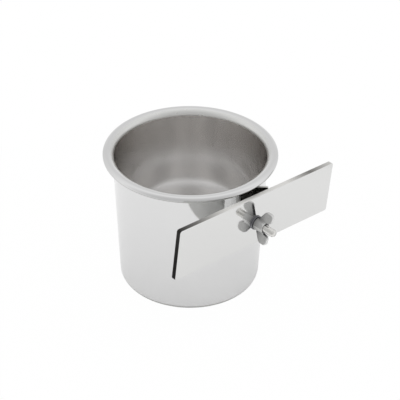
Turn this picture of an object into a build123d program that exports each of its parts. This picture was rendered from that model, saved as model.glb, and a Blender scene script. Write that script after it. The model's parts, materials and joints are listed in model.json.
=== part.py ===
from build123d import *
import os
from math import atan, cos, degrees, radians, sin, sqrt, tan

# Seed cup with a bar clamp: a drawn steel cup, a spacer bracket and stud welded to its wall, and a
# plate, washer and wing nut that trap cage bars against the bracket.
# Millimetres, +Z up, origin at the middle of the base, clamp on the -Y side.

# Cup, one drawn sheet. The two radii are the outside wall carried to the base and to the rim's top.
CUP_HEIGHT = 75.6
CUP_SHEET = 0.7
BASE_RADIUS = 36.3
MOUTH_RADIUS = 40.05
BASE_CORNER = 3.6            # radius inside the cup, between floor and wall

# Rolled rim. The sheet leaves the wall on the mouth bend, runs out and is rolled under.
RIM_OVERHANG = 4.95          # beyond the wall at the mouth
MOUTH_BEND = 3.6
ROLL_TOP_BEND = 2.0
ROLL_SIDE = 0.1              # upright part of the roll, between its two bends
ROLL_LOWER_BEND = 1.1
ROLL_TUCK = 3.4              # how far the rolled edge runs back towards the wall

# Clamp: the bracket's place under the rolled rim, and the stud below the bracket's middle.
BRACKET_BELOW_RIM = 1.4      # from the roll down to the bracket's upper edge
BRACKET_BEYOND_RIM = 1.55    # leg ends, so that the plate clears the roll
STUD_DROP = 1.2

# Spacer bracket, a bent strip welded to the wall
BRACKET_SHEET = 1.0
BRACKET_HEIGHT = 29.0
BRACKET_WEB = 7.2            # web on the wall side, between the bend lines
BRACKET_FLARE = 40.0         # angle between the legs and the plate
BRACKET_BEND = 0.8           # inside radius of both bends
WELD_GAP = 0.02              # left between welded faces

# Stud, washer and wing nut, M4
STUD_RADIUS = 2.0
STUD_BEYOND_PLATE = 13.0
STUD_CHAMFER = 0.5
STUD_FLANGE_RADIUS = 2.75
STUD_FLANGE_THICKNESS = 0.7
WASHER_MARGIN = 0.4          # washer beyond the nut's foot
WASHER_THICKNESS = 0.8
WASHER_CLEARANCE = 0.15      # radial, washer on stud
NUT_CLEARANCE = 0.05         # radial, nut on stud
NUT_WALL = 0.85              # hub's wall round the bore, at its free end
NUT_HUB_TAPER = 0.5          # how much wider the hub is at its foot, in radius
NUT_HUB_HEIGHT = 5.8
NUT_HUB_EDGE = 0.35
NUT_TURN = -15.0             # wings from upright, about the stud
WING_REACH = 5.2             # wing beyond the hub's foot
WING_ABOVE_HUB = 3.2
WING_THICKNESS = 1.8
WING_ROOT_RISE = 1.0         # lower edge of a wing where it leaves the hub's axis
WING_TIP_WIDTH = 4.8
WING_TIP_ROUND = 1.8         # corner radii of a wing's outline, at its tip and where it leaves the hub
WING_ROOT_ROUND = 1.0
WING_EDGE = 0.5              # rounding of a wing's flat sides

# Clamp plate, a cut strip
PLATE_LENGTH = 108.8
PLATE_WIDTH = 29.0
PLATE_THICKNESS = 2.5
PLATE_CORNER = 1.2
PLATE_EDGE = 0.15
PLATE_CLEARANCE = 0.15       # radial, plate on stud
PLATE_TURN = -4.2            # from level, about the stud
SEAT_GAP = 0.05              # between faces that the nut draws together

WALL_LEAN = degrees(atan((MOUTH_RADIUS - BASE_RADIUS) / CUP_HEIGHT))
RIM_RADIUS = MOUTH_RADIUS + RIM_OVERHANG
ROLL_FOOT = CUP_HEIGHT - ROLL_TOP_BEND - ROLL_SIDE - ROLL_LOWER_BEND
BRACKET_DEPTH = RIM_OVERHANG + BRACKET_BEYOND_RIM
CLAMP_HEIGHT = ROLL_FOOT - BRACKET_BELOW_RIM - BRACKET_HEIGHT / 2 * cos(radians(WALL_LEAN))
NUT_BORE = STUD_RADIUS + NUT_CLEARANCE
NUT_HUB_TOP_RADIUS = NUT_BORE + NUT_WALL
NUT_HUB_RADIUS = NUT_HUB_TOP_RADIUS + NUT_HUB_TAPER
NUT_HEIGHT = NUT_HUB_HEIGHT + WING_ABOVE_HUB
WASHER_RADIUS = NUT_HUB_RADIUS + WASHER_MARGIN
UPWARDS = (Align.CENTER, Align.CENTER, Align.MIN)


def wall_radius(height):
    """Outside radius of the cup wall at a height above the base."""
    return BASE_RADIUS + (MOUTH_RADIUS - BASE_RADIUS) * height / CUP_HEIGHT


# Clamp frame: x along the plate, y up the wall, z straight out from the wall along the stud.
OUTWARD = (0, -cos(radians(WALL_LEAN)), -sin(radians(WALL_LEAN)))
CLAMP = Plane(origin=(0, -wall_radius(CLAMP_HEIGHT), CLAMP_HEIGHT), x_dir=(1, 0, 0), z_dir=OUTWARD)
STUD = Plane(CLAMP.from_local_coords((0, -STUD_DROP, 0)), x_dir=(1, 0, 0), z_dir=OUTWARD)

# The web is bedded on the round wall, so its flat face lies nearer to the wall than the sheet is thick.
WALL_CURVE = wall_radius(CLAMP_HEIGHT)
WEB_BEDDING = WALL_CURVE - sqrt(WALL_CURVE**2 - (BRACKET_WEB / 2) ** 2)

# Seats along the stud, measured out from the wall
STUD_FOOT = BRACKET_SHEET - WEB_BEDDING + WELD_GAP
PLATE_BACK = BRACKET_DEPTH + SEAT_GAP
PLATE_FRONT = PLATE_BACK + PLATE_THICKNESS
WASHER_BACK = PLATE_FRONT + SEAT_GAP
NUT_BACK = WASHER_BACK + WASHER_THICKNESS + SEAT_GAP
STUD_END = PLATE_FRONT + STUD_BEYOND_PLATE


def cup_shell():
    """Drawn cup: the face that the seed touches, carried over the rim and under it, given a thickness."""
    wall_width = CUP_SHEET / cos(radians(WALL_LEAN))
    seed_face = FilletPolyline(
        (0, CUP_SHEET),
        (wall_radius(CUP_SHEET) - wall_width, CUP_SHEET),
        (MOUTH_RADIUS - wall_width, CUP_HEIGHT),
        (RIM_RADIUS, CUP_HEIGHT),
        (RIM_RADIUS, ROLL_FOOT),
        (RIM_RADIUS - ROLL_TUCK, ROLL_FOOT),
        radius=[BASE_CORNER, MOUTH_BEND, ROLL_TOP_BEND, ROLL_LOWER_BEND],
    )
    section = make_face(seed_face.offset_2d(CUP_SHEET, side=Side.RIGHT))
    return revolve(Plane.XZ * section, Axis.Z)


def spacer_bracket():
    """Bent strip: web pressed to the wall's curve, legs flaring out to the plate."""
    flare = radians(BRACKET_FLARE)
    half_web = BRACKET_WEB / 2
    leg_end = BRACKET_DEPTH - BRACKET_SHEET * cos(flare)
    leg_run = (leg_end + WEB_BEDDING) / tan(flare)
    wall_side = FilletPolyline(
        (-half_web - leg_run, leg_end),
        (-half_web, -WEB_BEDDING),
        (half_web, -WEB_BEDDING),
        (half_web + leg_run, leg_end),
        radius=BRACKET_BEND + BRACKET_SHEET,
    )
    strip = make_face(wall_side.offset_2d(BRACKET_SHEET, side=Side.LEFT))
    across_wall = Plane(CLAMP.origin, x_dir=CLAMP.x_dir, z_dir=-CLAMP.y_dir)
    blank = extrude(across_wall * strip, BRACKET_HEIGHT / 2, both=True)
    wall = Cone(BASE_RADIUS + WELD_GAP, MOUTH_RADIUS + WELD_GAP, CUP_HEIGHT, align=UPWARDS)
    return blank - wall


def on_stud(distance, turn=0):
    """Place on the stud's axis, a distance out from the wall, turned about the axis."""
    return STUD.offset(distance).location * Rot(0, 0, turn)


def weld_stud():
    """Stud with a small welding flange on the bracket's web and a chamfered free end."""
    shank = extrude(Circle(STUD_RADIUS), STUD_END - STUD_FOOT)
    shank = chamfer(shank.edges().group_by(Axis.Z)[-1], STUD_CHAMFER)
    flange = extrude(Circle(STUD_FLANGE_RADIUS), STUD_FLANGE_THICKNESS)
    return on_stud(STUD_FOOT) * (shank + flange)


def clamp_plate():
    """Flat strip with rounded corners, broken edges and one hole on the stud."""
    outline = Pos(0, STUD_DROP) * RectangleRounded(PLATE_LENGTH, PLATE_WIDTH, PLATE_CORNER)
    strip = extrude(outline, PLATE_THICKNESS)
    strip = chamfer(strip.faces().filter_by(Axis.Z).edges(), PLATE_EDGE)
    hole = extrude(Circle(STUD_RADIUS + PLATE_CLEARANCE), PLATE_THICKNESS)
    return on_stud(PLATE_BACK, PLATE_TURN) * (strip - hole)


def washer():
    """Plain washer between plate and nut."""
    ring = Circle(WASHER_RADIUS) - Circle(STUD_RADIUS + WASHER_CLEARANCE)
    return on_stud(WASHER_BACK) * extrude(ring, WASHER_THICKNESS)


def wing():
    """One rounded wing along +Y: a flat outline that rises from the hub, given a thickness."""
    tip = NUT_HUB_RADIUS + WING_REACH
    upper_root = NUT_HUB_HEIGHT - NUT_HUB_EDGE
    outline = FilletPolyline(
        (0, WING_ROOT_RISE),
        (NUT_HUB_RADIUS, WING_ROOT_RISE),
        (tip, NUT_HEIGHT - WING_TIP_WIDTH),
        (tip, NUT_HEIGHT),
        (tip - WING_TIP_WIDTH, NUT_HEIGHT),
        (NUT_HUB_TOP_RADIUS, upper_root),
        (0, upper_root),
        radius=[WING_ROOT_ROUND, WING_TIP_ROUND, WING_TIP_ROUND, WING_TIP_ROUND, WING_ROOT_ROUND],
    )
    side = make_face(outline + Line(outline @ 1, outline @ 0))
    blade = extrude(Plane.YZ * side, WING_THICKNESS / 2, both=True)
    side_edges = blade.faces().filter_by(Axis.X).edges()
    return fillet(side_edges.filter_by(lambda edge: edge.center().Y > 0), WING_EDGE)


def wing_nut():
    """Two-winged nut: a coned hub with rounded wings, bored for the stud."""
    hub = Cone(NUT_HUB_RADIUS, NUT_HUB_TOP_RADIUS, NUT_HUB_HEIGHT, align=UPWARDS)
    hub = fillet(hub.edges().group_by(Axis.Z)[-1], NUT_HUB_EDGE)
    bore = Cylinder(NUT_BORE, NUT_HEIGHT, align=UPWARDS)
    nut = hub + wing() + mirror(wing(), Plane.XZ) - bore
    return on_stud(NUT_BACK, NUT_TURN) * nut


os.makedirs("parts", exist_ok=True)
for piece in (cup_shell, spacer_bracket, weld_stud, clamp_plate, washer, wing_nut):
    export_step(piece(), f"parts/{piece.__name__}.step")
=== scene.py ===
import json
import math

import bmesh
import bpy
from mathutils import Matrix, Vector


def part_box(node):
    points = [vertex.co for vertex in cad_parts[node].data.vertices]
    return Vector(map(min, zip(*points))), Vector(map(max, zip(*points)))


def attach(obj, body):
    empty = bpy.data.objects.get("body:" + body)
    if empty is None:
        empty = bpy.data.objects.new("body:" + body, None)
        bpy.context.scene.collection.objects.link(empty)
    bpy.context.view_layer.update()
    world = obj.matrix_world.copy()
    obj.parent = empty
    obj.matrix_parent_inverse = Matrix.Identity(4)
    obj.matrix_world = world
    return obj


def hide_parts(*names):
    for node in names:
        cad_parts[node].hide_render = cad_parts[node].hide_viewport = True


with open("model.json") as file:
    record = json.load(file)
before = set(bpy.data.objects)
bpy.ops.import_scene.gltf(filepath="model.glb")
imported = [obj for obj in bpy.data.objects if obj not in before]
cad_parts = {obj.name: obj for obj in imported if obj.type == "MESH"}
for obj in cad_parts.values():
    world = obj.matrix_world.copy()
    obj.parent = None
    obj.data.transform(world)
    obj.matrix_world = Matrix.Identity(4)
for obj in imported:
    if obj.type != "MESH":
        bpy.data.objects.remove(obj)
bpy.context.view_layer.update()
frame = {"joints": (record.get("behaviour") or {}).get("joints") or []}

# Seed cup with a bar clamp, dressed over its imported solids. Metres, +Z up, clamp on the -Y side.
MM = 0.001

# Camera that took the photograph, found from the rim, the base and the plate's corners
VIEW_AZIMUTH = math.radians(-44.1)
VIEW_ELEVATION = math.radians(33.8)
VIEW_ROLL = math.radians(0.73)
VIEW_DISTANCE = 1.0
VIEW_LENS = 173.0
VIEW_ASIDE = 5.19 * MM           # picture centre, to the right of the cup's axis
VIEW_HEIGHT = 44.84 * MM         # picture centre, above the base

# Studio: how white the camera and polished metal see the table, its size, and the room's dim side
TABLE_SEEN = 0.98
TABLE_MIRRORED = 0.2
TABLE_RADIUS = 160 * MM
TABLE_STEPS = 128
DIM_AZIMUTH = VIEW_AZIMUTH
REFLECTIONS = 24                 # light leaves the deep polished cup only after many

# Meshes: steps round the round forms, steps in a bend and an edge, and how near points are one point
CUP_STEPS = 256
NUT_STEPS = 96
WASHER_STEPS = 64
HOLE_STEPS = 48
THREAD_STEPS = 32
BEND_STEPS = 10
CORNER_STEPS = 6
WEB_CUTS = 4
EDGE_STEPS = 2
ONE_POINT = 0.001 * MM
SHARP = math.radians(35)         # between two faces at an edge
ASKEW = 0.5                      # a face with less of its normal along an axis doesn't face that way

# Cup sheet and its bends
CUP_SHEET = 0.7 * MM
BASE_RADIUS = 36.3 * MM
BASE_CORNER = 3.6 * MM
MOUTH_BEND = 3.6 * MM
ROLL_TOP_BEND = 2.0 * MM
ROLL_SIDE = 0.1 * MM
ROLL_LOWER_BEND = 1.1 * MM
ROLL_TUCK = 3.4 * MM
UNBUFFED_AND_SHADED_SLOPE = 0.3             # how far a face looks down before it is left duller and painted darker as shade

# Clamp hardware, measured along the stud from the nut's seat
SEAT_GAP = 0.05 * MM
WASHER_RADIUS = 3.8 * MM
WASHER_THICKNESS = 0.8 * MM
WASHER_EDGE = 0.12 * MM
PLATE_LENGTH = 108.8 * MM
PLATE_WIDTH = 29.0 * MM
PLATE_THICKNESS = 2.5 * MM
PLATE_CORNER = 1.2 * MM
PLATE_EDGE = 0.15 * MM
PLATE_TURN = math.radians(-4.2)
HOLE_CLEARANCE = 0.15 * MM
STUD_RADIUS = 2.0 * MM
STUD_BEYOND_PLATE = 13.0 * MM
STUD_CHAMFER = 0.5 * MM
STUD_FLANGE_RADIUS = 2.75 * MM
STUD_FLANGE_THICKNESS = 0.7 * MM
STUD_DROP = 1.2 * MM
THREAD_PITCH = 0.7 * MM
THREAD_DEPTH = 0.43 * MM
BRACKET_SHEET = 1.0 * MM
BRACKET_HEIGHT = 29.0 * MM
BRACKET_WEB = 7.2 * MM
BRACKET_DEPTH = 6.5 * MM
BRACKET_FLARE = math.radians(40)
BRACKET_BEND = 0.8 * MM
BRACKET_EDGE = 0.12 * MM
WELD_GAP = 0.02 * MM
CHANNEL_SHADE_REACH = 22.0 * MM      # painted shade fades out at this distance from the stud's weld

# Wing nut
NUT_TURN = math.radians(-15)
NUT_BORE = 2.05 * MM
NUT_HUB_RADIUS = 3.4 * MM
NUT_HUB_TOP_RADIUS = 2.9 * MM
NUT_HUB_HEIGHT = 5.8 * MM
NUT_HUB_EDGE = 0.35 * MM
NUT_HEIGHT = 9.0 * MM
NUT_SPAN = 17.2 * MM
WING_THICKNESS = 1.8 * MM
WING_ROOT = 2.5 * MM             # inside the hub's wall, clear of the bore
WING_ROOT_RISE = 1.0 * MM
WING_TIP_WIDTH = 4.8 * MM
WING_TIP_ROUND = 1.8 * MM
WING_ROOT_ROUND = 1.0 * MM
CAST_GRAIN = 0.16 * MM           # smallest form that the mould gives
CAST_SOFTENING = 8               # rounds of smoothing at the joins

# Patterns in the finishes, coarser than the real ones where the real ones are too fine to show
BUFF_RINGS = 0.7 * MM            # really about 0.05 mm apart
BUFF_RINGS_INSIDE = 2.5 * MM     # coarser still, because the cup shows them many times over in itself
DRAWN_WAVE = 30 * MM
ROLLING_LINE = 0.5 * MM          # really about 0.02 mm wide
ROLLING_LINE_LENGTH = 40 * MM
TEAR_GRAIN = 0.4 * MM            # really about 0.1 mm
ZINC_MOTTLE = 0.8 * MM
MOULD_GRAIN = 0.5 * MM           # really about 0.2 mm
NUT_SHADE_REACH = 8 * MM            # nearer to another face than this, the nut is painted darker as shade

# Places taken from the imported frame
joints = {joint["name"]: joint for joint in frame["joints"]}
STUD_AXIS = Vector(joints["nut_spin"]["axis"])
NUT_SEAT = Vector(joints["nut_spin"]["pos_m"])
WALL_LEAN = math.asin(-STUD_AXIS.z)
CUP_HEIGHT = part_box("cup_shell")[1].z
RIM_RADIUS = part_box("cup_shell")[1].x
MOUTH_RADIUS = BASE_RADIUS + CUP_HEIGHT * math.tan(WALL_LEAN)
ROLL_FOOT = CUP_HEIGHT - ROLL_TOP_BEND - ROLL_SIDE - ROLL_LOWER_BEND
WASHER_BACK = -SEAT_GAP - WASHER_THICKNESS
PLATE_FRONT = WASHER_BACK - SEAT_GAP
PLATE_BACK = PLATE_FRONT - PLATE_THICKNESS
LEG_ENDS = PLATE_BACK - SEAT_GAP
WALL = LEG_ENDS - BRACKET_DEPTH
WALL_CURVE = -(NUT_SEAT + STUD_AXIS * WALL).y
WEB_BEDDING = WALL_CURVE - math.sqrt(WALL_CURVE**2 - (BRACKET_WEB / 2) ** 2)
STUD_FOOT = WALL + BRACKET_SHEET - WEB_BEDDING + WELD_GAP
STUD_END = PLATE_FRONT + STUD_BEYOND_PLATE


def on_stud(distance, turn=0.0):
    """Place on the stud's axis, a distance out from the nut's seat, turned about the axis."""
    across = Vector((1, 0, 0))
    upright = STUD_AXIS.cross(across)
    axes = Matrix((across, upright, STUD_AXIS)).transposed().to_4x4()
    return Matrix.Translation(NUT_SEAT + STUD_AXIS * distance) @ axes @ Matrix.Rotation(turn, 4, "Z")


# Shapes

def rounded_wire(bm, corners, bends):
    """Wire through the corners, with each inner corner rounded to its bend radius."""
    points = [Vector(corner) for corner in corners]
    verts = [bm.verts.new(point) for point in points]
    for start, end in zip(verts, verts[1:]):
        bm.edges.new((start, end))
    for vert, bend, before, here, after in zip(verts[1:-1], bends, points, points[1:], points[2:]):
        turn = (here - before).angle(after - here)
        reach = bend * math.tan(turn / 2)
        bmesh.ops.bevel(
            bm, geom=[vert], offset=reach, affect="VERTICES", segments=BEND_STEPS, profile=0.5, material=-1
        )


def spun(bm, steps):
    """Full turn of everything in the mesh about its Z axis, with poles and seam closed."""
    bmesh.ops.spin(
        bm, geom=bm.verts[:] + bm.edges[:], cent=(0, 0, 0), axis=(0, 0, 1), angle=2 * math.pi,
        steps=steps, use_merge=True,
    )
    bmesh.ops.remove_doubles(bm, verts=bm.verts, dist=ONE_POINT)
    bmesh.ops.recalc_face_normals(bm, faces=bm.faces)


def sharp_edges(bm):
    """Edges where two faces meet at a sharp angle."""
    return [edge for edge in bm.edges if edge.calc_face_angle(0) > SHARP]


def piece(name, bm, materials, body, node):
    """Object from a mesh, smooth shaded, that rides on a body and stands in for a solid."""
    mesh = bpy.data.meshes.new(name)
    for face in bm.faces:
        face.smooth = True
    bm.to_mesh(mesh)
    bm.free()
    for material in materials:
        mesh.materials.append(material)
    obj = bpy.data.objects.new(name, mesh)
    bpy.context.collection.objects.link(obj)
    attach(obj, body)
    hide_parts(node)
    return obj


def keep_flats_flat(obj):
    """Shading that leaves large faces flat and rounds only the narrow edges between them."""
    weighted = obj.modifiers.new("flat_faces", "WEIGHTED_NORMAL")
    weighted.weight = 100
    weighted.keep_sharp = True


def drawn_cup(outside, inside, mouth, unbuffed_painted_shade):
    """The face that the seed touches, carried over the rim and under it, given the sheet's thickness."""
    bm = bmesh.new()
    wall_width = CUP_SHEET / math.cos(WALL_LEAN)
    floor_radius = BASE_RADIUS + CUP_SHEET * math.tan(WALL_LEAN) - wall_width
    corners = [
        (0, 0, CUP_SHEET),
        (floor_radius, 0, CUP_SHEET),
        (MOUTH_RADIUS - wall_width, 0, CUP_HEIGHT),
        (RIM_RADIUS, 0, CUP_HEIGHT),
        (RIM_RADIUS, 0, ROLL_FOOT),
        (RIM_RADIUS - ROLL_TUCK, 0, ROLL_FOOT),
    ]
    rounded_wire(bm, corners, [BASE_CORNER, MOUTH_BEND, ROLL_TOP_BEND, ROLL_LOWER_BEND])
    spun(bm, CUP_STEPS)
    bmesh.ops.solidify(bm, geom=bm.faces[:], thickness=CUP_SHEET)
    finishes = [outside, inside, mouth, unbuffed_painted_shade]
    for face in bm.faces:
        middle = face.calc_center_median()
        faces_in = face.normal.dot(Vector((-middle.x, -middle.y, MOUTH_RADIUS))) > 0
        from_wall = middle.xy.length - (MOUTH_RADIUS - CUP_SHEET)
        rolled_under = face.normal.z < 0 and from_wall > MOUTH_BEND
        shaded_underneath = face.normal.z < -UNBUFFED_AND_SHADED_SLOPE
        in_bend = middle.z > CUP_HEIGHT - MOUTH_BEND and from_wall < MOUTH_BEND / 2
        on_wall = middle.z > CUP_SHEET + BASE_CORNER and from_wall < 0
        # Faces rolled under or looking down are duller and painted darker as shade.
        if rolled_under or shaded_underneath:
            face.material_index = finishes.index(unbuffed_painted_shade)
        elif faces_in and in_bend:
            face.material_index = finishes.index(mouth)
        elif faces_in and on_wall:
            face.material_index = finishes.index(inside)
    return piece("drawn_cup", bm, finishes, "cup", "cup_shell")


def bent_bracket(face_finish, channel_painted_shade, cut_painted_reflection):
    """Strip bent to an open trapezoid channel, the back of its web pressed to the wall's curve."""
    bm = bmesh.new()
    half_web = BRACKET_WEB / 2
    leg_end = BRACKET_DEPTH - BRACKET_SHEET * math.cos(BRACKET_FLARE)
    leg_run = (leg_end + WEB_BEDDING) / math.tan(BRACKET_FLARE)
    low = STUD_DROP - BRACKET_HEIGHT / 2
    corners = [
        (-half_web - leg_run, low, leg_end),
        (-half_web, low, -WEB_BEDDING),
        (half_web, low, -WEB_BEDDING),
        (half_web + leg_run, low, leg_end),
    ]
    rounded_wire(bm, corners, [BRACKET_BEND + BRACKET_SHEET] * 2)
    web = [edge for edge in bm.edges if all(vert.co.z <= -WEB_BEDDING + WELD_GAP for vert in edge.verts)]
    bmesh.ops.subdivide_edges(bm, edges=web, cuts=WEB_CUTS)
    strip = bmesh.ops.extrude_edge_only(bm, edges=bm.edges[:])["geom"]
    top = [item for item in strip if isinstance(item, bmesh.types.BMVert)]
    bmesh.ops.translate(bm, verts=top, vec=(0, BRACKET_HEIGHT, 0))
    bmesh.ops.recalc_face_normals(bm, faces=bm.faces)
    bmesh.ops.solidify(bm, geom=bm.faces[:], thickness=BRACKET_SHEET)
    for vert in bm.verts:
        wall = math.sqrt(WALL_CURVE**2 - vert.co.x**2) - WALL_CURVE
        vert.co.z = max(vert.co.z, wall + WELD_GAP)
    bmesh.ops.bevel(
        bm, geom=sharp_edges(bm), offset=BRACKET_EDGE, affect="EDGES", segments=EDGE_STEPS, profile=0.5,
        material=-1,
    )
    bmesh.ops.dissolve_degenerate(bm, dist=ONE_POINT, edges=bm.edges[:])
    finishes = [face_finish, channel_painted_shade, cut_painted_reflection]
    for face in bm.faces:
        # Cut faces get the edge with painted reflections.
        if abs(face.normal.y) > ASKEW:
            face.material_index = finishes.index(cut_painted_reflection)
        # The channel's inner faces, which face the plate, get painted shade.
        elif face.normal.z > 0:
            face.material_index = finishes.index(channel_painted_shade)
    bm.transform(on_stud(WALL))
    obj = piece("bent_bracket", bm, finishes, "cup", "spacer_bracket")
    keep_flats_flat(obj)
    return obj


def threaded_stud(finish):
    """Screw thread swept along the stud, chamfered at the free end, on its welding flange."""
    bm = bmesh.new()
    length = STUD_END - STUD_FOOT
    turns = math.ceil(length / THREAD_PITCH) + 2
    root = STUD_RADIUS - THREAD_DEPTH
    flat = THREAD_PITCH / 8
    tooth = [
        (root, 0, 0),
        (STUD_RADIUS, 0, THREAD_PITCH / 2 - flat),
        (STUD_RADIUS, 0, THREAD_PITCH / 2),
        (root, 0, THREAD_PITCH - flat),
        (root, 0, THREAD_PITCH),
    ]
    rounded_wire(bm, tooth, [])
    bmesh.ops.spin(
        bm, geom=bm.verts[:] + bm.edges[:], cent=(0, 0, 0), axis=(0, 0, 1), angle=2 * math.pi * turns,
        steps=THREAD_STEPS * turns, dvec=(0, 0, THREAD_PITCH / THREAD_STEPS),
    )
    bmesh.ops.remove_doubles(bm, verts=bm.verts, dist=ONE_POINT)
    bmesh.ops.translate(bm, verts=bm.verts, vec=(0, 0, -THREAD_PITCH))
    for height, side in ((0, -1), (length, 1)):
        bmesh.ops.bisect_plane(
            bm, geom=bm.verts[:] + bm.edges[:] + bm.faces[:], plane_co=(0, 0, height),
            plane_no=(0, 0, side), clear_outer=True,
        )
    bmesh.ops.dissolve_degenerate(bm, dist=ONE_POINT, edges=bm.edges[:])
    bmesh.ops.holes_fill(bm, edges=[edge for edge in bm.edges if edge.is_boundary])
    for vert in bm.verts:
        allowed = STUD_RADIUS - STUD_CHAMFER + length - vert.co.z
        if vert.co.xy.length > allowed:
            vert.co.xy *= allowed / vert.co.xy.length
    bmesh.ops.create_cone(
        bm, cap_ends=True, segments=THREAD_STEPS, radius1=STUD_FLANGE_RADIUS, radius2=STUD_FLANGE_RADIUS,
        depth=STUD_FLANGE_THICKNESS, matrix=Matrix.Translation((0, 0, STUD_FLANGE_THICKNESS / 2)),
    )
    bmesh.ops.recalc_face_normals(bm, faces=bm.faces)
    bm.transform(on_stud(STUD_FOOT))
    return piece("threaded_stud", bm, [finish], "cup", "weld_stud")


def flat_washer(finish):
    """Stamped ring with softened edges."""
    bm = bmesh.new()
    inner = STUD_RADIUS + HOLE_CLEARANCE
    section = [
        (inner, 0, 0),
        (WASHER_RADIUS, 0, 0),
        (WASHER_RADIUS, 0, WASHER_THICKNESS),
        (inner, 0, WASHER_THICKNESS),
        (inner, 0, 0),
    ]
    rounded_wire(bm, section, [])
    spun(bm, WASHER_STEPS)
    bmesh.ops.bevel(
        bm, geom=sharp_edges(bm), offset=WASHER_EDGE, affect="EDGES", segments=EDGE_STEPS, profile=0.5,
        material=-1,
    )
    bm.transform(on_stud(WASHER_BACK))
    obj = piece("flat_washer", bm, [finish], "washer", "washer")
    keep_flats_flat(obj)
    return obj


def clamp_strip(face_finish, back_finish, cut_painted_reflection):
    """Cut strip with rounded corners, broken edges and one hole on the stud."""
    bm = bmesh.new()
    outline = bmesh.ops.create_grid(bm, x_segments=1, y_segments=1, size=1 / 2)["verts"]
    bmesh.ops.scale(bm, verts=outline, vec=(PLATE_LENGTH, PLATE_WIDTH, 1))
    bmesh.ops.translate(bm, verts=outline, vec=(0, STUD_DROP, 0))
    bmesh.ops.delete(bm, geom=bm.faces[:], context="FACES_ONLY")
    bmesh.ops.bevel(
        bm, geom=outline, offset=PLATE_CORNER, affect="VERTICES", segments=CORNER_STEPS, profile=0.5,
        material=-1,
    )
    bmesh.ops.create_circle(bm, segments=HOLE_STEPS, radius=STUD_RADIUS + HOLE_CLEARANCE)
    bmesh.ops.triangle_fill(bm, edges=bm.edges[:], use_beauty=True)
    front = bmesh.ops.extrude_face_region(bm, geom=bm.faces[:])["geom"]
    lifted = [item for item in front if isinstance(item, bmesh.types.BMVert)]
    bmesh.ops.translate(bm, verts=lifted, vec=(0, 0, PLATE_THICKNESS))
    bmesh.ops.recalc_face_normals(bm, faces=bm.faces)
    rims = [edge for edge in sharp_edges(bm) if abs(edge.verts[0].co.z - edge.verts[1].co.z) < PLATE_EDGE]
    bmesh.ops.bevel(
        bm, geom=rims, offset=PLATE_EDGE, affect="EDGES", segments=EDGE_STEPS, profile=0.5, material=-1
    )
    finishes = [face_finish, back_finish, cut_painted_reflection]
    for face in bm.faces:
        # Cut faces get the edge with painted reflections.
        if abs(face.normal.z) < ASKEW:
            face.material_index = finishes.index(cut_painted_reflection)
        elif face.normal.z < 0:
            face.material_index = finishes.index(back_finish)
    bm.transform(on_stud(PLATE_BACK, PLATE_TURN))
    obj = piece("clamp_strip", bm, finishes, "plate", "clamp_plate")
    keep_flats_flat(obj)
    return obj


def nut_hub():
    """Coned hub with a bore through it."""
    hub = bmesh.new()
    section = [
        (NUT_BORE, 0, 0),
        (NUT_HUB_RADIUS, 0, 0),
        (NUT_HUB_TOP_RADIUS, 0, NUT_HUB_HEIGHT),
        (NUT_BORE, 0, NUT_HUB_HEIGHT),
        (NUT_BORE, 0, 0),
    ]
    rounded_wire(hub, section, [])
    spun(hub, NUT_STEPS)
    return hub


def nut_wing(bm):
    """Rounded wing along +Y that rises out of the hub, and its twin along -Y."""
    tip = NUT_SPAN / 2
    upper_root = NUT_HUB_HEIGHT - NUT_HUB_EDGE
    half = WING_THICKNESS / 2
    corners = [
        (-half, WING_ROOT, WING_ROOT_RISE),
        (-half, NUT_HUB_RADIUS, WING_ROOT_RISE),
        (-half, tip, NUT_HEIGHT - WING_TIP_WIDTH),
        (-half, tip, NUT_HEIGHT),
        (-half, tip - WING_TIP_WIDTH, NUT_HEIGHT),
        (-half, NUT_HUB_TOP_RADIUS, upper_root),
        (-half, WING_ROOT, upper_root),
    ]
    rounds = [WING_ROOT_ROUND, WING_TIP_ROUND, WING_TIP_ROUND, WING_TIP_ROUND, WING_ROOT_ROUND]
    rounded_wire(bm, corners, rounds)
    bmesh.ops.edgenet_prepare(bm, edges=bm.edges[:])
    bmesh.ops.contextual_create(bm, geom=bm.edges[:])
    blade = bmesh.ops.extrude_face_region(bm, geom=bm.faces[:])["geom"]
    lifted = [item for item in blade if isinstance(item, bmesh.types.BMVert)]
    bmesh.ops.translate(bm, verts=lifted, vec=(WING_THICKNESS, 0, 0))
    bmesh.ops.mirror(bm, geom=bm.verts[:] + bm.edges[:] + bm.faces[:], axis="Y", merge_dist=0)
    bmesh.ops.recalc_face_normals(bm, faces=bm.faces)


def cast_wing_nut(finish):
    """Hub and wings cast as one, with every join rounded as a casting's is."""
    bm = nut_hub()
    wings = bmesh.new()
    nut_wing(wings)
    part = bpy.data.meshes.new("wings")
    wings.to_mesh(part)
    wings.free()
    bm.from_mesh(part)
    bpy.data.meshes.remove(part)
    bm.transform(on_stud(0, NUT_TURN))
    obj = piece("cast_wing_nut", bm, [finish], "nut", "wing_nut")
    cast = obj.modifiers.new("one_casting", "REMESH")
    cast.mode = "VOXEL"
    cast.voxel_size = CAST_GRAIN
    cast.use_smooth_shade = True
    soften = obj.modifiers.new("soft_edges", "SMOOTH")
    soften.iterations = CAST_SOFTENING
    return obj


# Finishes

def linear(hex_colour):
    """Linear colour with alpha from an sRGB hex value."""
    channels = [int(hex_colour[i:i + 2], 16) / 255 for i in (0, 2, 4)]
    return [c / 12.92 if c <= 0.04045 else ((c + 0.055) / 1.055) ** 2.4 for c in channels] + [1.0]


def add(tree, kind, settings=None, inputs=None):
    """Adds a node with its settings, and sets or links its inputs."""
    node = tree.nodes.new(kind)
    for name, value in (settings or {}).items():
        setattr(node, name, value)
    for name, value in (inputs or {}).items():
        if isinstance(value, bpy.types.NodeSocket):
            tree.links.new(value, node.inputs[name])
        else:
            node.inputs[name].default_value = value
    return node


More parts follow.
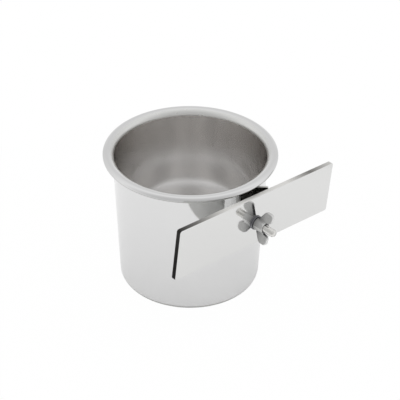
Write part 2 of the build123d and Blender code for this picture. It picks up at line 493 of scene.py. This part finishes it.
def metal(name, hex_colour=None):
    """Bare metal of one colour, if it has one, with its node tree, shader and place on the piece."""
    material = bpy.data.materials.new(name)
    material.use_nodes = True
    tree = material.node_tree
    shader = tree.nodes["Principled BSDF"]
    if hex_colour:
        shader.inputs["Base Color"].default_value = linear(hex_colour)
    shader.inputs["Metallic"].default_value = 1.0
    place = add(tree, "ShaderNodeTexCoord").outputs["Object"]
    return material, tree, shader, place


def wiped(tree, shader, place, patch, least, most):
    """Lets the roughness wander between two values in patches of a size, as on handled metal."""
    patches = add(tree, "ShaderNodeTexNoise", inputs={"Vector": place, "Scale": 1 / patch, "Detail": 3.0})
    # Noise seldom leaves the range from 0.3 to 0.7.
    roughness = add(tree, "ShaderNodeMapRange", inputs={
        "Value": patches.outputs["Fac"], "From Min": 0.3, "From Max": 0.7, "To Min": least, "To Max": most})
    tree.links.new(roughness.outputs["Result"], shader.inputs["Roughness"])


def lathe_rings(tree, place, spacing):
    """Height of the rings that buffing on a lathe leaves, at a spacing along wall and floor."""
    flat = add(tree, "ShaderNodeVectorMath", {"operation": "MULTIPLY"}, {0: place, 1: (1, 1, 0)})
    radius = add(tree, "ShaderNodeVectorMath", {"operation": "LENGTH"}, {0: flat.outputs["Vector"]})
    height = add(tree, "ShaderNodeSeparateXYZ", inputs={"Vector": place})
    along = add(tree, "ShaderNodeMath", {"operation": "ADD"}, {
        0: radius.outputs["Value"], 1: height.outputs["Z"]})
    rings = add(tree, "ShaderNodeTexNoise", {"noise_dimensions": "1D"}, {
        "W": along.outputs[0], "Scale": 1 / spacing, "Detail": 2.0})
    return rings.outputs["Fac"]


def polished_drawn_stainless():
    """Stainless sheet, drawn and buffed: clear reflections, broken by a slow wave and faint lathe rings."""
    material, tree, shader, place = metal("polished_drawn_stainless", "E4E4E4")
    wiped(tree, shader, place, 18 * MM, 0.05, 0.1)
    rings = add(tree, "ShaderNodeBump", inputs={
        "Height": lathe_rings(tree, place, BUFF_RINGS), "Strength": 0.06, "Distance": 0.02 * MM})
    wave = add(tree, "ShaderNodeTexNoise", inputs={"Vector": place, "Scale": 1 / DRAWN_WAVE, "Detail": 1.0})
    bump = add(tree, "ShaderNodeBump", inputs={
        "Height": wave.outputs["Fac"], "Strength": 0.2, "Distance": 0.3 * MM,
        "Normal": rings.outputs["Normal"]})
    tree.links.new(bump.outputs["Normal"], shader.inputs["Normal"])
    return material


def satin_stainless_inside():
    """Inside wall of the drawn cup, left satin by the press: soft reflections of the cup in itself."""
    material, tree, shader, place = metal("satin_stainless_inside", "ECEBEA")
    wiped(tree, shader, place, 12 * MM, 0.11, 0.13)
    # Fine drawing lines up the wall smear what is mirrored round it.
    shader.inputs["Anisotropic"].default_value = 0.55
    turned = add(tree, "ShaderNodeTangent", {"direction_type": "RADIAL", "axis": "Z"})
    tree.links.new(turned.outputs["Tangent"], shader.inputs["Tangent"])
    rings = add(tree, "ShaderNodeBump", inputs={
        "Height": lathe_rings(tree, place, BUFF_RINGS_INSIDE), "Strength": 0.05, "Distance": 0.05 * MM})
    tree.links.new(rings.outputs["Normal"], shader.inputs["Normal"])
    return material


def unbuffed_stainless(name, hex_colour):
    """Sides that the buffing wheel misses or only brushes: duller than the rest, in the grey given; on the
    cup's underside that darker grey is painted shade.
    """
    material, tree, shader, place = metal(name, hex_colour)
    wiped(tree, shader, place, 5 * MM, 0.26, 0.36)
    return material


def bright_rolled_stainless():
    """Bright rolled strip: nearly a mirror, with hair-fine lines along the way it was rolled."""
    material, tree, shader, place = metal("bright_rolled_stainless", "E3E3E2")
    wiped(tree, shader, place, 15 * MM, 0.05, 0.12)
    drawn_out = add(tree, "ShaderNodeMapping", inputs={
        "Vector": place, "Rotation": (0, -PLATE_TURN, 0),
        "Scale": (1 / ROLLING_LINE_LENGTH, 1 / ROLLING_LINE, 1 / ROLLING_LINE)})
    lines = add(tree, "ShaderNodeTexNoise", inputs={
        "Vector": drawn_out.outputs["Vector"], "Scale": 1.0, "Detail": 2.0})
    bump = add(tree, "ShaderNodeBump", inputs={
        "Height": lines.outputs["Fac"], "Strength": 0.05, "Distance": 0.02 * MM})
    tree.links.new(bump.outputs["Normal"], shader.inputs["Normal"])
    return material


def rolled_stainless_painted_shade():
    """The same strip on the channel's inner faces, with painted shade: greyer near the stud's weld, clear
    again at the leg ends.
    """
    material, tree, shader, place = metal("rolled_stainless_painted_shade")
    wiped(tree, shader, place, 6 * MM, 0.1, 0.22)
    reach = add(tree, "ShaderNodeVectorMath", {"operation": "DISTANCE"}, {
        0: place, 1: NUT_SEAT + STUD_AXIS * STUD_FOOT})
    shade_fade = add(tree, "ShaderNodeMapRange", inputs={
        "Value": reach.outputs["Value"], "From Min": 0.0, "From Max": CHANNEL_SHADE_REACH})
    # Painted shade of the channel: greyest near the stud's weld, lighter towards the leg ends.
    channel_shade = add(tree, "ShaderNodeValToRGB", inputs={"Fac": shade_fade.outputs["Result"]})
    channel_shade.color_ramp.elements[0].color = linear("BAB8B6")
    channel_shade.color_ramp.elements[1].color = linear("E3E3E2")
    channel_shade.color_ramp.elements.new(0.75).color = linear("C4C2C0")
    tree.links.new(channel_shade.outputs["Color"], shader.inputs["Base Color"])
    return material


def sheared_edge_painted_reflection():
    """Edge left by the shear, with a torn grain and painted reflections along it: dark at one end and near
    the other, bright between.
    """
    material, tree, shader, place = metal("sheared_edge_painted_reflection")
    shader.inputs["Roughness"].default_value = 0.35
    ends = add(tree, "ShaderNodeSeparateXYZ", inputs={"Vector": place})
    along = add(tree, "ShaderNodeMapRange", inputs={
        "Value": ends.outputs["X"], "From Min": -PLATE_LENGTH / 2, "From Max": PLATE_LENGTH / 2})
    # Painted reflection along the strip: near black at the left end, dark near the right end, bright
    # between.
    tone = add(tree, "ShaderNodeValToRGB", inputs={"Fac": along.outputs["Result"]})
    tone.color_ramp.elements[0].color = linear("181716")
    tone.color_ramp.elements[1].color = linear("DCDBD8")
    for share, hex_colour in ((0.12, "7A7875"), (0.32, "ECEBE8"), (0.7, "ECEBE8"), (0.86, "84827F")):
        tone.color_ramp.elements.new(share).color = linear(hex_colour)
    tree.links.new(tone.outputs["Color"], shader.inputs["Base Color"])
    grain = add(tree, "ShaderNodeTexNoise", inputs={
        "Vector": place, "Scale": 1 / TEAR_GRAIN, "Detail": 3.0})
    bump = add(tree, "ShaderNodeBump", inputs={
        "Height": grain.outputs["Fac"], "Strength": 0.3, "Distance": 0.05 * MM})
    tree.links.new(bump.outputs["Normal"], shader.inputs["Normal"])
    return material


def bright_turned_stainless():
    """Rolled screw thread: bright crests, a little dull in patches."""
    material, tree, shader, place = metal("bright_turned_stainless", "E2E1DE")
    wiped(tree, shader, place, 3 * MM, 0.12, 0.3)
    return material


def dull_zinc_plate():
    """Stamped washer, zinc plated: dull blue-grey, mottled."""
    material, tree, shader, place = metal("dull_zinc_plate")
    wiped(tree, shader, place, 1.5 * MM, 0.3, 0.5)
    mottle = add(tree, "ShaderNodeTexNoise", inputs={
        "Vector": place, "Scale": 1 / ZINC_MOTTLE, "Detail": 3.0})
    tone = add(tree, "ShaderNodeMix", {"data_type": "RGBA"}, {
        "Factor": mottle.outputs["Fac"], "A": linear("6E6E73"), "B": linear("929296")})
    tree.links.new(tone.outputs["Result"], shader.inputs["Base Color"])
    return material


def tumbled_cast_steel_painted_shade():
    """Cast nut, tumbled: painted shade darkens its corners and the parts near the plate, bright open faces,
    the mould's grain and an uneven shine.
    """
    material, tree, shader, place = metal("tumbled_cast_steel_painted_shade")
    wiped(tree, shader, place, 2.5 * MM, 0.12, 0.24)
    # Painted shade: corners and faces close to the plate are painted dark from ambient occlusion, and the
    # open faces are bright.
    occlusion_shade = add(tree, "ShaderNodeAmbientOcclusion", inputs={"Distance": NUT_SHADE_REACH})
    tone = add(tree, "ShaderNodeValToRGB", inputs={"Fac": occlusion_shade.outputs["AO"]})
    tone.color_ramp.elements[0].position = 0.45
    tone.color_ramp.elements[0].color = linear("3A3A3C")
    tone.color_ramp.elements[1].position = 0.92
    tone.color_ramp.elements[1].color = linear("DCDCDB")
    tree.links.new(tone.outputs["Color"], shader.inputs["Base Color"])
    grain = add(tree, "ShaderNodeTexNoise", inputs={
        "Vector": place, "Scale": 1 / MOULD_GRAIN, "Detail": 2.0})
    bump = add(tree, "ShaderNodeBump", inputs={
        "Height": grain.outputs["Fac"], "Strength": 0.2, "Distance": 0.05 * MM})
    tree.links.new(bump.outputs["Normal"], shader.inputs["Normal"])
    return material


# Studio

def camera():
    """Camera at the photograph's angle and framing."""
    aside = Vector((math.cos(VIEW_AZIMUTH), math.sin(VIEW_AZIMUTH), 0))
    back = Vector((
        math.sin(VIEW_AZIMUTH) * math.cos(VIEW_ELEVATION),
        -math.cos(VIEW_AZIMUTH) * math.cos(VIEW_ELEVATION),
        math.sin(VIEW_ELEVATION),
    ))
    target = aside * VIEW_ASIDE + Vector((0, 0, VIEW_HEIGHT))
    lens = bpy.data.cameras.new("camera")
    lens.lens = VIEW_LENS
    lens.sensor_width = 36.0
    lens.clip_start = 0.01
    obj = bpy.data.objects.new("camera", lens)
    bpy.context.collection.objects.link(obj)
    stand = Matrix.Translation(target + back * VIEW_DISTANCE)
    facing = back.to_track_quat("Z", "Y").to_matrix().to_4x4()
    obj.matrix_world = stand @ facing @ Matrix.Rotation(VIEW_ROLL, 4, "Z")
    bpy.context.scene.camera = obj


def floor():
    """Plain white table, which keeps a faint shadow of the object."""
    bm = bmesh.new()
    bmesh.ops.create_circle(bm, cap_ends=True, segments=TABLE_STEPS, radius=TABLE_RADIUS)
    mesh = bpy.data.meshes.new("floor")
    bm.to_mesh(mesh)
    bm.free()
    obj = bpy.data.objects.new("floor", mesh)
    bpy.context.collection.objects.link(obj)
    material = bpy.data.materials.new("white_table")
    material.use_nodes = True
    tree = material.node_tree
    tree.nodes.clear()
    path = add(tree, "ShaderNodeLightPath")
    mirrored = add(tree, "ShaderNodeMath", {"operation": "MULTIPLY"}, {
        0: path.outputs["Is Glossy Ray"], 1: TABLE_MIRRORED})
    share = add(tree, "ShaderNodeMath", {"operation": "MULTIPLY_ADD"}, {
        0: path.outputs["Is Camera Ray"], 1: TABLE_SEEN, 2: mirrored.outputs[0]})
    paper = add(tree, "ShaderNodeBsdfDiffuse", inputs={"Color": linear("FAFAFA")})
    glow = add(tree, "ShaderNodeEmission", inputs={"Color": linear("FFFFFF"), "Strength": 1.0})
    mix = add(tree, "ShaderNodeMixShader", inputs={
        "Fac": share.outputs[0], 1: paper.outputs[0], 2: glow.outputs[0]})
    add(tree, "ShaderNodeOutputMaterial", inputs={"Surface": mix.outputs[0]})
    mesh.materials.append(material)


def studio_light():
    """Plain white light on the table; metal mirrors a pale room that dims towards the photographer."""
    world = bpy.data.worlds.new("studio")
    bpy.context.scene.world = world
    world.use_nodes = True
    # Each ray finds the world by itself, so a mirrored ray is told from the others.
    world.cycles.sampling_method = "NONE"
    tree = world.node_tree
    background = tree.nodes["Background"]
    background.inputs["Strength"].default_value = 1.0
    dim_side = Vector((math.sin(DIM_AZIMUTH), -math.cos(DIM_AZIMUTH), 0))
    way = add(tree, "ShaderNodeTexCoord")
    nearness = add(tree, "ShaderNodeVectorMath", {"operation": "DOT_PRODUCT"}, {
        0: way.outputs["Generated"], 1: dim_side})
    share = add(tree, "ShaderNodeMapRange", inputs={"Value": nearness.outputs["Value"], "From Min": -1.0})
    tone = add(tree, "ShaderNodeValToRGB", inputs={"Fac": share.outputs["Result"]})
    tone.color_ramp.elements[0].color = linear("F0F0F0")
    tone.color_ramp.elements[1].color = linear("CACACA")
    for turned_to, hex_colour in ((0.08, "E0E0E0"), (0.5, "F6F6F6"), (0.85, "D0D0D0")):
        tone.color_ramp.elements.new(turned_to).color = linear(hex_colour)
    path = add(tree, "ShaderNodeLightPath")
    seen = add(tree, "ShaderNodeMix", {"data_type": "RGBA"}, {
        "Factor": path.outputs["Is Glossy Ray"], "A": linear("FFFFFF"), "B": tone.outputs["Color"]})
    tree.links.new(seen.outputs["Result"], background.inputs["Color"])


rolled = bright_rolled_stainless()
brushed = unbuffed_stainless("brushed_stainless_bend", "E0E0DE")
# This darker grey is painted shade on the cup's underside and rolled-under faces.
unbuffed_painted_shade = unbuffed_stainless("mill_finish_painted_shade", "C4C4C2")
# The cut edges of strip and bracket carry painted reflections.
cut_edge_painted_reflection = sheared_edge_painted_reflection()
drawn_cup(polished_drawn_stainless(), satin_stainless_inside(), brushed, unbuffed_painted_shade)
bent_bracket(rolled, rolled_stainless_painted_shade(), cut_edge_painted_reflection)
threaded_stud(bright_turned_stainless())
clamp_strip(rolled, unbuffed_painted_shade, cut_edge_painted_reflection)
flat_washer(dull_zinc_plate())
cast_wing_nut(tumbled_cast_steel_painted_shade())
camera()
floor()
studio_light()
bpy.context.scene.view_settings.view_transform = "Standard"
bpy.context.scene.cycles.max_bounces = REFLECTIONS
bpy.context.scene.cycles.glossy_bounces = REFLECTIONS
